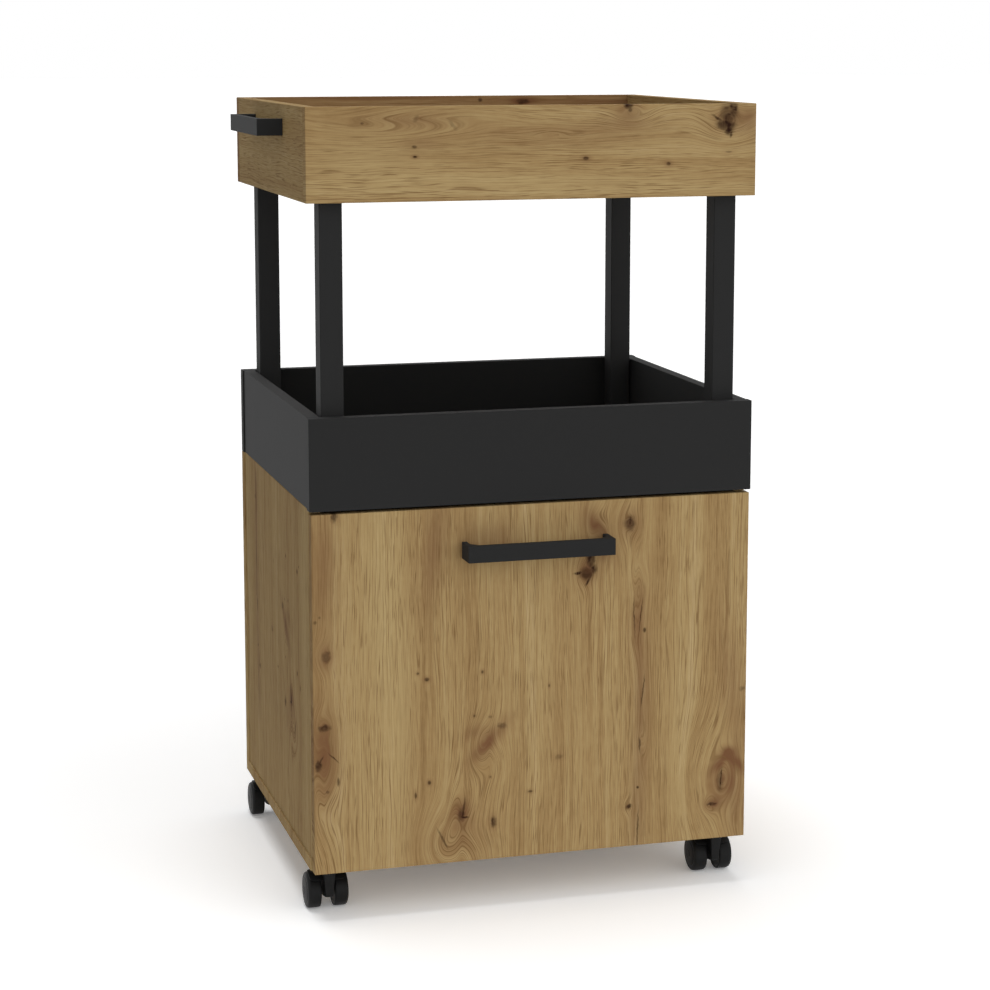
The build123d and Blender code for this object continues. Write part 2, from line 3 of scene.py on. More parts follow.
import bpy
import numpy as np
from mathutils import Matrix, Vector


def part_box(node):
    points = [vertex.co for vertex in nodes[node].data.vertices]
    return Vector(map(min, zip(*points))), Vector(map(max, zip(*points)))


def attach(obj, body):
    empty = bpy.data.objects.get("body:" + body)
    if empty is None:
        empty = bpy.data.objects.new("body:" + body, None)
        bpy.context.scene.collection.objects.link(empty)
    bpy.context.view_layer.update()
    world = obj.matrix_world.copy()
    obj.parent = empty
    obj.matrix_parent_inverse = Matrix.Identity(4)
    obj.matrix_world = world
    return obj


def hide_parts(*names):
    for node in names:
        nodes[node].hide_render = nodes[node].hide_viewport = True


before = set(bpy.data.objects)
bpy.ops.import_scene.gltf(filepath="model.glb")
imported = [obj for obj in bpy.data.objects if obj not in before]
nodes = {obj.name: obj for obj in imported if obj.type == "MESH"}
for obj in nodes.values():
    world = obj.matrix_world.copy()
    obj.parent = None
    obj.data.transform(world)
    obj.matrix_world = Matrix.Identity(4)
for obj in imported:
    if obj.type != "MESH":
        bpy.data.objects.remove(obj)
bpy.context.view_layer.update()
perMetre = 1000.0  # patterns and castors are given in mm
castorNames = [end + "_" + side for end in ("front", "back") for side in ("left", "right")]
print("frame loaded:", len(nodes), "nodes")


def toLinear(code):
    # sRGB hex value to linear colour
    parts = [int(code[i:i + 2], 16) / 255 for i in (1, 3, 5)]
    return [c / 12.92 if c <= 0.04045 else ((c + 0.055) / 1.055) ** 2.4 for c in parts] + [1.0]


def addNode(tree, kind, inputs=(), out=0, **settings):
    # adds one node, sets it, feeds its sockets in their order or by name, and gives back one output
    made = tree.nodes.new(kind)
    for key, value in settings.items():
        setattr(made, key, value)
    for key, value in inputs.items() if isinstance(inputs, dict) else enumerate(inputs):
        if isinstance(value, bpy.types.NodeSocket):
            tree.links.new(value, made.inputs[key])
        else:
            made.inputs[key].default_value = value
    return made.outputs[out] if made.outputs else made


def newMaterial(name):
    # a material without nodes, and its node tree
    made = bpy.data.materials.new(name)
    made.use_nodes = True
    made.node_tree.nodes.clear()
    return made, made.node_tree


# Oak decor: the marks of the printed plank, in mm as (across the grain, along the grain).
# figures: across, along, half width, half length, ring, splay. In a figure the grain turns into rings
#   (ring is their width over their length) or arches (splay above 0 opens downwards)
# knots: across, along, half width, half length, darkness
# cracks: across, along, half width, half length, darkness, lean
# stains: across, along, half width, half length, lean, strength (brown above 0, which also carries painted
# shade, and pale below)
frontDecor = {
    "figures": [
        (-284, 262, 14, 24, 0.75, 0.0), (-284, 186, 20, 66, 0.0, -0.5), (-280, 356, 12, 16, 0.8, 0.0),
        (-100, 88, 42, 40, 0.0, 0.6), (-100, 142, 15, 40, 0.35, 0.0), (143, 375, 9, 44, 0.16, 0.0),
        (143, 440, 12, 34, 0.0, 0.35), (130, 508, 17, 26, 0.65, 0.0), (72, 446, 14, 17, 0.7, 0.0),
        (86, 505, 14, 26, 0.0, 0.8), (266, 150, 42, 70, 0.55, 0.0), (252, 112, 11, 10, 0.9, 0.0),
        (152, 200, 6, 34, 0.0, -0.25), (-62, 215, 22, 34, 0.0, 0.55), (133, 120, 9, 10, 0.8, 0.0),
    ],
    "knots": [
        (-268, 541, 4, 8, 0.85), (-294, 402, 2, 2, 0.6), (-288, 408, 1.5, 1.5, 0.5),
        (-280, 356, 5, 6, 0.65), (-284, 262, 7, 4, 0.85), (-292, 212, 4, 7, 0.85),
        (-266, 188, 1.5, 5, 0.8), (-280, 176, 2, 2, 0.6), (-160, 326, 1.6, 1.6, 0.55),
        (-148, 317, 3, 2.4, 0.7), (-72, 322, 1.6, 2, 0.7), (-143, 178, 1.8, 2.6, 0.9),
        (-162, 162, 1.4, 3.4, 0.8), (-57, 117, 3.5, 6, 0.8), (-101, 130, 4, 8, 0.55),
        (-45, 247, 5, 4, 0.6), (-83, 263, 1.5, 1.5, 0.55), (-61, 260, 2.5, 1.5, 0.4),
        (-61, 179, 1.3, 1.3, 0.5), (-6, 154, 2.6, 1.4, 0.55), (33, 198, 5, 3, 0.35),
        (70, 444, 9, 8, 0.8), (80, 449, 4, 6, 0.8), (76, 463, 5, 10, 0.85), (130, 508, 6, 9, 0.7),
        (153, 363, 2, 3, 0.75), (145, 147, 1.7, 1.8, 0.8), (133, 120, 3.6, 3.2, 0.75),
        (250, 114, 6, 2.5, 0.7), (262, 146, 4, 14, 0.45), (20, 297, 1, 2, 0.6), (292, 272, 4, 3, 0.4),
    ],
    "cracks": [
        (-98, 138, 1.6, 13, 0.9, 0.15), (-97, 127, 5, 1.6, 0.9, -1.2), (-272, 221, 1.3, 6, 0.75, -1.0),
        (-288, 219, 1.3, 5, 0.75, 0.6), (59, 446, 6, 2, 0.9, 0.6), (74, 437, 2, 8, 0.9, 0.5),
        (263, 148, 1.1, 13, 1.0, 0.05), (150, 280, 0.9, 20, 0.75, 0.1), (147, 206, 1.2, 9, 0.8, -0.05),
        (145, 88, 0.9, 26, 0.6, 0.02), (-127, 100, 1.5, 12, 0.6, -0.5), (138, 380, 0.9, 24, 0.6, -0.06),
        (147, 382, 0.9, 22, 0.55, 0.08), (252, 114, 5, 1.4, 0.8, 1.4), (130, 511, 2, 7, 0.9, 0.1),
    ],
    "stains": [
        (-282, 470, 20, 90, 0.0, 0.55), (-282, 225, 20, 72, 0.0, 0.85), (-280, 356, 13, 18, 0.0, 0.6),
        (-136, 490, 17, 80, 0.12, 0.55), (-62, 228, 14, 28, 0.8, 0.95), (-85, 240, 16, 12, 0.5, 0.45),
        (-100, 130, 13, 22, 0.0, 0.8), (-105, 98, 48, 34, 0.0, 0.35), (148, 270, 12, 130, 0.0, 0.65),
        (143, 110, 12, 70, 0.0, 0.45), (262, 146, 17, 26, 0.0, 0.8), (262, 172, 9, 13, 0.8, 0.8),
        (284, 172, 9, 14, -0.6, 0.8), (272, 186, 12, 7, 0.0, 0.6), (252, 114, 13, 10, 0.0, 0.8),
        (284, 130, 14, 70, 0.0, 0.65), (130, 508, 13, 20, 0.0, 0.9), (72, 448, 15, 18, 0.0, 0.9),
        (92, 472, 20, 16, -0.5, 0.5), (84, 506, 15, 26, -0.4, 0.95), (142, 378, 14, 44, 0.0, 0.3),
        (-60, 496, 40, 26, 0.0, 0.5), (276, 290, 18, 90, -0.1, 0.45), (-206, 420, 26, 150, 0.0, -0.8),
        (-228, 150, 20, 110, 0.0, -0.6), (195, 240, 26, 150, 0.0, -0.4), (20, 330, 10, 160, 0.0, -0.35),
        (-180, 260, 14, 160, 0.0, -0.8),
    ],
}
trayDecor = {
    "figures": [
        (1043, -180, 25, 120, 0.0, -0.2), (1049, 130, 16, 26, 0.6, 0.0), (1038, 262, 24, 30, 0.8, 0.0),
        (1020, 20, 10, 50, 0.2, 0.0),
    ],
    "knots": [
        (1007, -160, 1.6, 3, 0.75), (995, -160, 1.4, 2.6, 0.8), (990, 67, 2.2, 3.5, 0.9),
        (980, 178, 2, 2.6, 0.85), (1056, 124, 3.6, 5, 0.9), (1051, 126, 2.4, 2.5, 0.7),
        (1044, 262, 12, 11, 0.75), (1031, 258, 6, 12, 0.9), (1024, 262, 6, 6, 0.9),
        (1054, 268, 8, 6, 0.9), (1036, -227, 1.4, 2, 0.6), (996, 262, 1, 4, 0.5),
    ],
    "cracks": [
        (1020, 265, 5, 1.6, 0.9, 0.3), (1038, 248, 2, 8, 0.7, -0.6), (1042, -158, 4, 3, 0.35, 0.8),
        (1034, -110, 3, 5, 0.3, -0.8),
    ],
    "stains": [
        (1038, 262, 18, 24, 0.0, 0.75), (1048, 124, 13, 20, 0.0, 0.75), (1040, -165, 12, 70, 0.0, 0.45),
        (1010, -150, 8, 24, 0.0, 0.4), (1020, 20, 16, 110, 0.0, 0.3), (1032, 120, 12, 60, 0.0, 0.3),
        (1040, 292, 22, 12, 0.0, 0.5), (990, -225, 34, 85, 0.0, -0.8), (960, 0, 14, 200, 0.0, -0.7),
        (952, 200, 10, 120, 0.0, -0.5), (1012, 200, 5, 80, 0.0, -0.5),
    ],
}
innerDecorWithPaintedShade = {
    "figures": [],
    "knots": [(1053, 757, 2.6, 3, 0.8), (1050, 822, 4, 9, 0.8)],
    "cracks": [],
    # the last stain, brown over the whole board, is painted shade on the upper tray's inner back
    "stains": [(1051, 822, 6, 16, 0.0, 0.8), (1000, 700, 400, 2000, 0.0, 0.75)],
}
plainDecor = {"figures": [], "knots": [], "cracks": [], "stains": []}

oak = {
    # the wood's tones from dark to light, and its tone where all the noises are at their middle
    "tones": [(0.10, "#7D6241"), (0.32, "#92764E"), (0.50, "#9D8258"), (0.68, "#A68D61"),
              (0.90, "#B0986E")],
    "middleTone": 0.55,
    "toneWeights": {"columns": 0.65, "bands": 0.6, "fibres": 0.62, "flecks": 0.16},
    # tints over the tones, in this order: colour, and strength as a number or one of the ranges
    "tints": {
        "pale": ("#B8A273", 0.45),
        "brownAndShade": ("#714F36", "uneven"),
        "line": ("#745838", 0.8),
        "pore": ("#6B4E30", "strips"),
        "heart": ("#2C1A11", "patchy"),
    },
    # noises that move a place: their size and their reach in mm, as (across, along, into the board)
    "moves": {
        "slow": [(140, 520, 90), (22, 0, 0)],
        "fine": [(30, 130, 60), (7, 5, 0)],
        "rag": [(6, 8, 60), (6, 7, 0)],
    },
    "moveDetail": 2.0,
    # noises stretched along the grain: mm across, mm along, detail. Oak's pores are 0.3 mm wide:
    # fibres and dashes are drawn 1.1 mm wide, because finer ones don't show in the render
    "noises": {
        "columns": (42, 1100, 1.0),
        "bands": (8, 420, 3.0),
        "fibres": (1.1, 52, 2.0),
        "flecks": (5, 12, 2.0),
        "drift": (17, 330, 2.0),
        "dashes": (1.1, 36, 1.0),
        "zone": (60, 200, 1.0),
    },
    # ranges: a noise, two of its values, and what each of them becomes
    "ranges": {
        "zone": ("zone", 0.32, 0.66, 0.25, 1.1),  # year rings strong here and weak there
        "broken": ("fibres", 0.60, 0.36, 0.35, 1.0),  # and broken up by the fibres
        "pore": ("dashes", 0.42, 0.30, 0.0, 0.62),
        "strips": ("drift", 0.36, 0.60, 0.25, 1.0),  # pores close together here and few there
        "uneven": ("bands", 0.3, 0.7, 1.15, 0.65),
        "patchy": ("flecks", 0.3, 0.6, 1.2, 0.75),
    },
    "ringWidth": 5.2,  # mm
    "ringDrift": 4.0,  # rings that the drift moves them by
    "ringRise": (0.74, 0.97, 0.0, 1.0),  # a ring darkens over this share of its width
    "ringFall": (0.0, 0.08, 1.0, 0.0),  # and ends over this share of the next one
    "figureLines": 1.05,  # strength of the rings in a figure
    "figureBowl": 2.5,  # mm, rounds the middle of a figure
    "falloff": 0.37,  # of a soft patch at its half width
    "raggedFrom": 3,  # half width in mm above which a knot has a ragged edge
    "crackRag": 0.45,  # share of the rag at a crack's edge
    "heartReach": (1.6, 0.5),  # halves from the middle where a heart begins and where it is full
    "haloReach": (3.6, 0.9),
    "haloBelow": 6,  # half width in mm under which a knot has a brown halo
    "haloShare": 0.5,  # of the knot's darkness
    "relief": {"Strength": 0.08, "Distance": 0.0004},
    "surface": {"Roughness": 0.7, "IOR": 1.5, "Specular IOR Level": 0.03},
}


def fromPatch(tree, place, across, along, halfWide, halfLong, lean=0.0):
    # a place from the middle of a patch, in halves of the patch: the difference, less lean times its
    # part along the grain, over the half width and the half length
    away = addNode(tree, "ShaderNodeVectorMath", [place, (across, along, 0)], operation="SUBTRACT")
    if lean:
        level = addNode(tree, "ShaderNodeVectorMath", [away, (1, -lean, 0)], out="Value",
                        operation="DOT_PRODUCT")
        runs = addNode(tree, "ShaderNodeSeparateXYZ", [away], out="Y")
        away = addNode(tree, "ShaderNodeCombineXYZ", [level, runs])
    halves = (1 / halfWide, 1 / halfLong, 0)
    return addNode(tree, "ShaderNodeVectorMath", [away, halves], operation="MULTIPLY")


def fade(tree, place, *patch):
    # 1 in the middle of a patch, and outwards the falloff to the power of the distance squared
    away = fromPatch(tree, place, *patch)
    square = addNode(tree, "ShaderNodeVectorMath", [away, away], out="Value", operation="DOT_PRODUCT")
    return addNode(tree, "ShaderNodeMath", [oak["falloff"], square], operation="POWER")


def movedPlaces(tree, plank):
    # places moved by a noise less its middle, times the reach: rough wanders a little, ragged and
    # frayed have short steps too, and bent wanders slowly across the grain too
    moves = {}
    for part, (size, reach) in oak["moves"].items():
        scaled = addNode(tree, "ShaderNodeVectorMath", [plank, size], operation="DIVIDE")
        noise = addNode(tree, "ShaderNodeTexNoise",
                        {"Vector": scaled, "Scale": 1.0, "Detail": oak["moveDetail"]}, out="Color")
        noise = addNode(tree, "ShaderNodeVectorMath", [noise, (0.5, 0.5, 0.5)], operation="SUBTRACT")
        moves[part] = addNode(tree, "ShaderNodeVectorMath", [noise, reach], operation="MULTIPLY")
    rough = addNode(tree, "ShaderNodeVectorMath", [plank, moves["fine"]], operation="ADD")
    share = (oak["crackRag"],) * 3
    return {
        "rough": rough,
        "ragged": addNode(tree, "ShaderNodeVectorMath", [rough, moves["rag"]], operation="ADD"),
        "frayed": addNode(tree, "ShaderNodeVectorMath", [moves["rag"], share, rough],
                          operation="MULTIPLY_ADD"),
        "bent": addNode(tree, "ShaderNodeVectorMath", [rough, moves["slow"]], operation="ADD"),
    }


def figuredGrain(tree, places, figures):
    # the place across and along the grain, and how much of it is figured. In a figure the place across
    # gains, faded from the middle: the distance from the middle, its part along times ring, less the
    # part across, and plus the part along times splay
    bent = addNode(tree, "ShaderNodeSeparateXYZ", [places["bent"]]).node.outputs
    across, figured = bent["X"], 0.0
    for u, v, halfWide, halfLong, ring, splay in figures:
        mask = fade(tree, places["rough"], u, v, halfWide, halfLong)
        away = addNode(tree, "ShaderNodeVectorMath", [places["rough"], (u, v, 0)], operation="SUBTRACT")
        bowl = addNode(tree, "ShaderNodeVectorMath", [away, (1, ring, 0), (0, 0, oak["figureBowl"])],
                       operation="MULTIPLY_ADD")
        bowl = addNode(tree, "ShaderNodeVectorMath", [bowl], out="Value", operation="LENGTH")
        slope = addNode(tree, "ShaderNodeVectorMath", [away, (-1, splay, 0)], out="Value",
                        operation="DOT_PRODUCT")
        turn = addNode(tree, "ShaderNodeMath", [bowl, slope], operation="ADD")
        across = addNode(tree, "ShaderNodeMath", [turn, mask, across], operation="MULTIPLY_ADD")
        figured = addNode(tree, "ShaderNodeMath", [mask, oak["figureLines"], figured],
                          operation="MULTIPLY_ADD")
    return across, bent["Y"], figured


def grainNoises(tree, grain, plank):
    # the noises, of which the zone lies on the plank and the others follow the grain, and their ranges
    noises = {}
    for part, (wide, long, detail) in oak["noises"].items():
        place = plank if part == "zone" else grain
        scaled = addNode(tree, "ShaderNodeVectorMath", [place, (1 / wide, 1 / long, 1)],
                         operation="MULTIPLY")
        noises[part] = addNode(tree, "ShaderNodeTexNoise",
                               {"Vector": scaled, "Scale": 1.0, "Detail": detail}, noise_dimensions="2D")
    ranges = {part: addNode(tree, "ShaderNodeMapRange", [noises[noise], *values])
              for part, (noise, *values) in oak["ranges"].items()}
    return noises, ranges


def yearRings(tree, across, drift, strengths):
    # a saw one ring wide, moved by the drift: it darkens slowly, ends at once and is as strong as given
    phase = addNode(tree, "ShaderNodeMath", [across, 1 / oak["ringWidth"]], operation="MULTIPLY")
    phase = addNode(tree, "ShaderNodeMath", [drift, oak["ringDrift"], phase], operation="MULTIPLY_ADD")
    saw = addNode(tree, "ShaderNodeMath", [phase], operation="FRACT")
    rise = addNode(tree, "ShaderNodeMapRange", [saw, *oak["ringRise"]])
    fall = addNode(tree, "ShaderNodeMapRange", [saw, *oak["ringFall"]])
    line = addNode(tree, "ShaderNodeMath", [rise, fall], operation="MAXIMUM")
    for strength in strengths:
        line = addNode(tree, "ShaderNodeMath", [line, strength], operation="MULTIPLY")
    return line


def stainMasks(tree, place, stains):
    # the sums of the brown stains, painted shade among them, and of the pale stains, each faded from its
    # middle
    masks = {"brownAndShade": 0.0, "pale": 0.0}
    for *patch, strength in stains:
        tint = "brownAndShade" if strength > 0 else "pale"
        mask = fade(tree, place, *patch)
        masks[tint] = addNode(tree, "ShaderNodeMath", [mask, abs(strength), masks[tint]],
                              operation="MULTIPLY_ADD")
    return masks


def knotMasks(tree, places, decor, brownAndShade):
    # the dark hearts of knots and cracks, and the brown of stains and painted shade with the halos of
    # small
    # knots: at each place the darkest mark counts
    heart = 0.0
    for u, v, halfWide, halfLong, dark, *lean in decor["knots"] + decor["cracks"]:
        edge = "frayed" if lean else "ragged" if halfWide > oak["raggedFrom"] else "rough"
        away = fromPatch(tree, places[edge], u, v, halfWide, halfLong, *lean)
        away = addNode(tree, "ShaderNodeVectorMath", [away], out="Value", operation="LENGTH")
        core = addNode(tree, "ShaderNodeMapRange", [away, *oak["heartReach"], 0.0, dark],
                       interpolation_type="SMOOTHSTEP")
        heart = addNode(tree, "ShaderNodeMath", [heart, core], operation="MAXIMUM")
        if not lean and halfWide < oak["haloBelow"]:
            halo = addNode(tree, "ShaderNodeMapRange",
                           [away, *oak["haloReach"], 0.0, oak["haloShare"] * dark],
                           interpolation_type="SMOOTHSTEP")
            brownAndShade = addNode(tree, "ShaderNodeMath", [brownAndShade, halo], operation="MAXIMUM")
    return heart, brownAndShade


def oakLaminate(name, decor, across, along, depth, shift):
    # Oak-look melamine: paper printed with a flat-sawn plank, pressed matt on chipboard. It gives the
    # eye warm streaks, brown figures, dark knots and short pores, and nearly no gloss.
    made, tree = newMaterial(name)
    place = addNode(tree, "ShaderNodeTexCoord", out="Object")
    axes = addNode(tree, "ShaderNodeSeparateXYZ", [place]).node.outputs
    turned = addNode(tree, "ShaderNodeCombineXYZ", [axes[across], axes[along], axes[depth]])
    plank = addNode(tree, "ShaderNodeVectorMath", [turned, (perMetre,) * 3, shift],
                    operation="MULTIPLY_ADD")
    places = movedPlaces(tree, plank)
    over, runs, figured = figuredGrain(tree, places, decor["figures"])
    grain = addNode(tree, "ShaderNodeCombineXYZ", [over, runs])
    noises, ranges = grainNoises(tree, grain, plank)

    # the tone is the middle tone plus each noise, less its own middle, times its weight
    tone = oak["middleTone"] - sum(oak["toneWeights"].values()) / 2
    for part, weight in oak["toneWeights"].items():
        tone = addNode(tree, "ShaderNodeMath", [noises[part], weight, tone], operation="MULTIPLY_ADD")
    wood = addNode(tree, "ShaderNodeValToRGB", [tone])
    stops = wood.node.color_ramp.elements
    while len(stops) < len(oak["tones"]):
        stops.new(0.5)
    for stop, (position, code) in zip(stops, oak["tones"]):
        stop.position = position
        stop.color = toLinear(code)

    masks = stainMasks(tree, places["rough"], decor["stains"])
    masks["heart"], masks["brownAndShade"] = knotMasks(tree, places, decor, masks["brownAndShade"])
    strong = addNode(tree, "ShaderNodeMath", [ranges["zone"], figured], operation="MAXIMUM")
    masks["line"] = yearRings(tree, over, noises["drift"], [strong, ranges["broken"]])
    masks["pore"] = ranges["pore"]
    for part, (code, strength) in oak["tints"].items():
        much = addNode(tree, "ShaderNodeMath", [masks[part], ranges.get(strength, strength)],
                       operation="MULTIPLY", use_clamp=True)
        wood = addNode(tree, "ShaderNodeMix", {0: much, 6: wood, 7: toLinear(code)}, out=2,
                       data_type="RGBA")

    bump = addNode(tree, "ShaderNodeBump", {**oak["relief"], "Height": noises["fibres"]})
    shader = addNode(tree, "ShaderNodeBsdfPrincipled",
                     {**oak["surface"], "Base Color": wood, "Normal": bump})
    addNode(tree, "ShaderNodeOutputMaterial", {"Surface": shader})
    return made


# Oak boards: decor, the axes of the frame that run across the grain, along it and into the board,
# how far in mm the board is shifted on the plank, and the nodes
x, y, z = 0, 1, 2
oakBoards = {
    "oakMelamineFront": (frontDecor, (x, z, y), (0, 0, 0), ["drawer_front"]),
    "oakMelamineSide": (frontDecor, (y, z, x), (0, -132, 0), ["left_side", "right_side"]),
    "oakMelamineTrayFront": (trayDecor, (z, x, y), (0, 0, 0), ["upper_tray_front"]),
    # painted shade: this decor browns the whole tray back
    "oakMelamineAlongXPaintedShade": (innerDecorWithPaintedShade, (z, x, y), (0, 700, 40), ["upper_tray_back"]),
    "oakMelamineAlongY": (plainDecor, (z, y, x), (60, 300, 80), ["upper_tray_left", "upper_tray_right"]),
    "oakMelamineFloor": (plainDecor, (y, x, z), (0, 900, 20), ["upper_tray_floor", "bottom_panel"]),
    "oakMelamineBack": (plainDecor, (x, z, y), (90, 400, 60), ["back_panel"]),
}

# Plain finishes: colour, speckle as (size in mm, share lighter and darker), what the shader gets, and
# the nodes. The speckle is under 1 mm, so it shows only from close by
plainFinishes = {
    # laminated chipboard with a fine pearl: near black and dull, a faint grey haze in the light
    "blackMelamine": {
        "colour": "#1A1A1A", "speckle": (0.6, 0.1),
        "surface": {"Roughness": 0.8, "IOR": 1.5, "Specular IOR Level": 0.3},
        "nodes": ["lower_tray_front", "lower_tray_left", "lower_tray_right", "front_left_post",
                  "front_right_post", "back_left_post", "back_right_post", "drawer_left_side",
                  "drawer_right_side", "drawer_back"],
    },
    # painted shade: the same board made deep black inside the lower tray, where little light comes back
    # out
    "blackMelaminePaintedShade": {
        "colour": "#0D0D0C", "speckle": (0.6, 0.1),
        "surface": {"Roughness": 0.8, "IOR": 1.5, "Specular IOR Level": 0.3},
        "nodes": ["lower_tray_floor", "lower_tray_back"],
    },
    # powder coated steel with a fine texture: black, and dull on its flats and edges alike
    "blackPowderCoat": {
        "colour": "#181818", "speckle": (0.4, 0.15),
        "surface": {"Roughness": 0.8, "IOR": 1.5, "Specular IOR Level": 0.3},
        "nodes": ["drawer_handle", "side_handle"],
    },
    # moulded nylon of the castors: black, with a soft shine where it curves
    "blackNylon": {
        "colour": "#0D0D0D", "speckle": (0.6, 0.1),
        "surface": {"Roughness": 0.5, "IOR": 1.5, "Specular IOR Level": 0.2},
        "nodes": [name + part for name in castorNames for part in ("_castor_frame", "_castor_wheels")],
    },
    # rolled steel under white epoxy: the runners' clean off-white with a satin shine
    "whiteEpoxySteel": {
        "colour": "#D8D8D4", "speckle": (0.6, 0.03),
        "surface": {"Roughness": 0.4, "IOR": 1.5, "Specular IOR Level": 0.5},
        "nodes": ["left_cabinet_runner", "right_cabinet_runner", "left_drawer_runner",
                  "right_drawer_runner"],
    },
    # turned nylon without dye: the rollers' warm milky white
    "naturalNylon": {
        "colour": "#DAD8CE", "speckle": (0.6, 0.03),
        "surface": {"Roughness": 0.5, "IOR": 1.5, "Specular IOR Level": 0.5},
        "nodes": ["left_cabinet_roller", "right_cabinet_roller", "left_drawer_roller",
                  "right_drawer_roller"],
    },
    # raw beech dowels: dry, pale reddish wood
    "rawBeech": {
        "colour": "#C09468", "speckle": (0.6, 0.1),
        "surface": {"Roughness": 0.6, "IOR": 1.5, "Specular IOR Level": 0.5},
        "nodes": ["cabinet_dowels", "drawer_dowels"],
    },
    # pressed hardboard, lacquered black on its smooth face
    "blackHardboard": {
        "colour": "#1C1B1A", "speckle": (0.6, 0.1),
        "surface": {"Roughness": 0.6, "IOR": 1.5, "Specular IOR Level": 0.5},
        "nodes": ["drawer_base"],
    },
    # zinc plated steel: light grey metal with a blurred shine, on all that no other finish names
    "zincPlatedSteel": {
        "colour": "#B4B6B8", "speckle": (0.6, 0.08),
        "surface": {"Roughness": 0.35, "Metallic": 1.0},
        "nodes": [],
    },
}
speckleShape = {"detail": 2.0, "relief": {"Strength": 0.1, "Distance": 0.0002}}


def plainFinish(name, finish):
    # a noise of the speckle's size mixes the colour made darker and lighter, and is also the relief
    made, tree = newMaterial(name)
    size, share = finish["speckle"]
    place = addNode(tree, "ShaderNodeTexCoord", out="Object")
    noise = addNode(tree, "ShaderNodeTexNoise",
                    {"Vector": place, "Scale": perMetre / size, "Detail": speckleShape["detail"]})
    dark, light = ([c * level for c in toLinear(finish["colour"])[:3]] + [1.0]
                   for level in (1 - share, 1 + share))
    mixed = addNode(tree, "ShaderNodeMix", {0: noise, 6: dark, 7: light}, out=2, data_type="RGBA")
    bump = addNode(tree, "ShaderNodeBump", {**speckleShape["relief"], "Height": noise})
    shader = addNode(tree, "ShaderNodeBsdfPrincipled",
                     {**finish["surface"], "Base Color": mixed, "Normal": bump})
    addNode(tree, "ShaderNodeOutputMaterial", {"Surface": shader})
    return made


dressed = {}
for name, (decor, axes, shift, names) in oakBoards.items():
    dressed.update(dict.fromkeys(names, oakLaminate(name, decor, *axes, shift)))
finishes = {name: plainFinish(name, finish) for name, finish in plainFinishes.items()}
for name, finish in plainFinishes.items():
    dressed.update(dict.fromkeys(finish["nodes"], finishes[name]))
for name, node in nodes.items():
    node.data.materials.clear()
    node.data.materials.append(dressed.get(name, finishes["zincPlatedSteel"]))
print("materials given to the nodes:", len(oakBoards) + len(finishes))

# Castors: sizes in mm, places round the axle as (forwards, up)
castor = {
    "pin": 26.0,  # the swivel pin, in front of the axle
    "hoodWide": 49.0,
    "hoodThick": 1.7,
    "hoodReach": 26.6,  # outside radius
    "hoodFrom": 74.0,  # degrees round the axle, from the back over the top
    "hoodTo": 138.0,
    "hoodPower": 6,  # rounds the hood's ends
    "hoodCorner": 0.25,  # a low power makes the section's oval nearly a rectangle
    "hoodSteps": 41,
    "hoodPoints": 64,
    "fin": [(31.6, 37), (31.8, 20), (30, 14), (29.5, 0), (27.5, -4), (18, -5.5), (6, -8.2), (-4, -8.2),
            (-8.4, -2), (-7, 8), (-3, 20), (1, 25.5), (12, 26.5), (15, 36)],
    "finThick": 14.0,
    "finEdge": 1.2,
    "finSteps": 14,
    "finTaper": (0.72, -4.0, 28.0),  # share of the thickness that is left low, and the heights
    "head": [(10.2, 39.6), (11, 38.8), (11, 30.5), (10.2, 29.6), (7, 29.6)],  # (radius, up)
    "wheel": [(7.0, 9.1), (7.8, 9.4), (8.6, 10.6), (19.2, 10.6), (20.4, 9.2), (22.8, 9.1), (24.0, 10.2),
              (24.0, 22.0), (23.8, 24.6), (22.6, 26.6), (20.2, 27.4), (18.4, 27.6), (18.0, 27.2),
              (17.2, 27.2), (16.8, 27.9), (12.0, 28.6), (6.2, 29.0), (5.8, 28.6), (5.0, 28.6),
              (4.6, 29.1), (1.0, 29.1)],  # (radius, across)
    "sides": 96,
    "crease": 32.0,  # degrees from which an edge stays sharp
}


def shell(rows):
    # A skin over rows of closed loops: each loop is joined to the next by quads, the end loops are
    # closed by a fan to their middle, and all faces are turned round if the volume comes out negative.
    count, sides = rows.shape[:2]
    points = np.vstack([rows.reshape(-1, 3), rows[:1].mean(1), rows[-1:].mean(1)])
    index = np.arange(count * sides).reshape(count, sides)
    ahead = np.roll(index, -1, 1)
    quads = np.stack([index[:-1], ahead[:-1], ahead[1:], index[1:]], -1).reshape(-1, 4)
    tips = np.full((2, sides), count * sides) + [[0], [1]]
    fans = np.stack([np.stack([ahead[0], index[-1]]), np.stack([index[0], ahead[-1]]), tips], -1)
    fans = fans.reshape(-1, 3)
    split = np.vstack([quads[:, :3], quads[:, [0, 2, 3]], fans])
    a, b, c = (points[split[:, k]] - points.mean(0) for k in range(3))
    if np.einsum("ij,ij->", a, np.cross(b, c)) < 0:
        quads, fans = quads[:, ::-1], fans[:, ::-1]
    return points, quads, fans


def soften(points, closed, times=2):
    # corner cutting: every side keeps only its points at a quarter and at three quarters
    points = np.array(points, float)
    for _ in range(times):
        ahead = np.roll(points, -1, 0)
        cut = np.stack([0.75 * points + 0.25 * ahead, 0.25 * points + 0.75 * ahead], 1)
        if closed:
            points = cut.reshape(-1, 2)
        else:
            points = np.vstack([points[:1], cut[:-1].reshape(-1, 2), points[-1:]])
    return points


def turned(profile, middle, sides, upright):
    # a profile (radius, height) turned round an axis: radius times the cosine and sine of the turn, and
    # the height along z if upright, else along x
    turn = np.linspace(0, 2 * np.pi, sides, endpoint=False)
    radius, height = profile[:, :1], profile[:, 1:] + 0 * turn
    c, s = radius * np.cos(turn), radius * np.sin(turn)
    return shell(np.stack([c, s, height] if upright else [height, c, s], -1) + middle)


